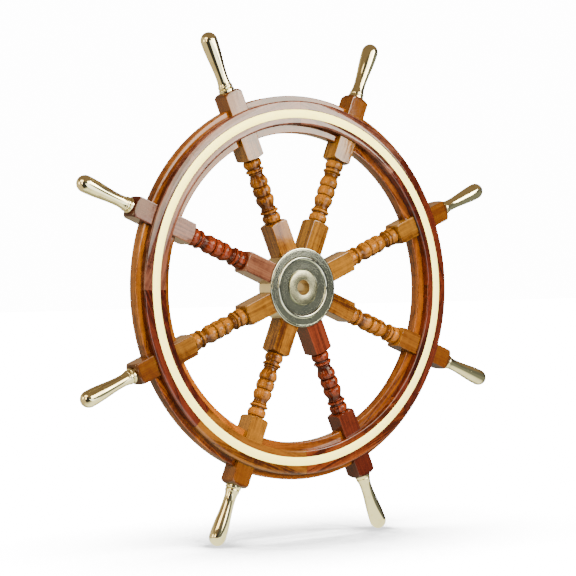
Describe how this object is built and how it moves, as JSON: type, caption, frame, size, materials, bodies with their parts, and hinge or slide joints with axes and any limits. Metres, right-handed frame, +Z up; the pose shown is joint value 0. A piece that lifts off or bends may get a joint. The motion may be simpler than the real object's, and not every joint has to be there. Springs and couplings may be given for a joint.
{
  "type": "ship steering wheel",
  "caption": "Ship steering wheel: turned wooden spokes through a laminated rim with a brass inlay, brass hub and brass grips, turning on a bushed hub.",
  "frame": {"origin": "centre of the hub, on the axle line, in the middle plane of the wheel", "axes": "+Z up, the front of the wheel with its inlay faces -Y, +X to the right as seen from the front, the axle along Y"},
  "size_m": [0.8468, 0.0477, 0.8468],
  "materials": {
    "wood_gold": "clear gloss varnish",
    "wood_amber": "clear gloss varnish",
    "wood_rust": "clear gloss varnish",
    "wood_red": "clear gloss varnish",
    "wood_mauve": "clear gloss varnish",
    "brass_polished": "polished",
    "brass_turned": "turned, satin to polished",
    "brass_inlay": "satin",
    "steel": "plain"
  },
  "bodies": {
    "bush": {"centre_bush": "brass_polished", "bush_collar": "brass_polished"},
    "wheel": {"back_rim_1": "wood_rust", "back_rim_2": "wood_amber", "back_rim_3": "wood_mauve", "back_rim_4": "wood_rust", "back_rim_5": "wood_amber", "back_rim_6": "wood_rust", "back_rim_7": "wood_mauve", "back_rim_8": "wood_amber", "felloe_1": "wood_amber", "felloe_2": "wood_gold", "felloe_3": "wood_gold", "felloe_4": "wood_gold", "felloe_5": "wood_gold", "felloe_6": "wood_amber", "felloe_7": "wood_amber", "felloe_8": "wood_amber", "front_rim_1": "wood_red", "front_rim_2": "wood_mauve", "front_rim_3": "wood_mauve", "front_rim_4": "wood_mauve", "front_rim_5": "wood_red", "front_rim_6": "wood_amber", "front_rim_7": "wood_rust", "front_rim_8": "wood_red", "handle_1": "brass_polished", "handle_2": "brass_polished", "handle_3": "brass_polished", "handle_4": "brass_polished", "handle_5": "brass_polished", "handle_6": "brass_polished", "handle_7": "brass_polished", "handle_8": "brass_polished", "handle_stud_1": "steel", "handle_stud_2": "steel", "handle_stud_3": "steel", "handle_stud_4": "steel", "handle_stud_5": "steel", "handle_stud_6": "steel", "handle_stud_7": "steel", "handle_stud_8": "steel", "hub_back_plate": "brass_turned", "hub_bolt_1": "steel", "hub_bolt_2": "steel", "hub_bolt_3": "steel", "hub_bolt_4": "steel", "hub_drum": "brass_turned", "hub_front_plate": "brass_turned", "inlay_ring": "brass_inlay", "spoke_1": "wood_gold", "spoke_2": "wood_gold", "spoke_3": "wood_amber", "spoke_4": "wood_red", "spoke_5": "wood_gold", "spoke_6": "wood_amber", "spoke_7": "wood_red", "spoke_8": "wood_amber"}
  },
  "joints": [
    {"name": "wheel_spin", "type": "hinge", "parent": "bush", "child": "wheel", "pos_m": [0, 0, 0], "axis": [0, 1, 0], "continuous": true}
  ]
}
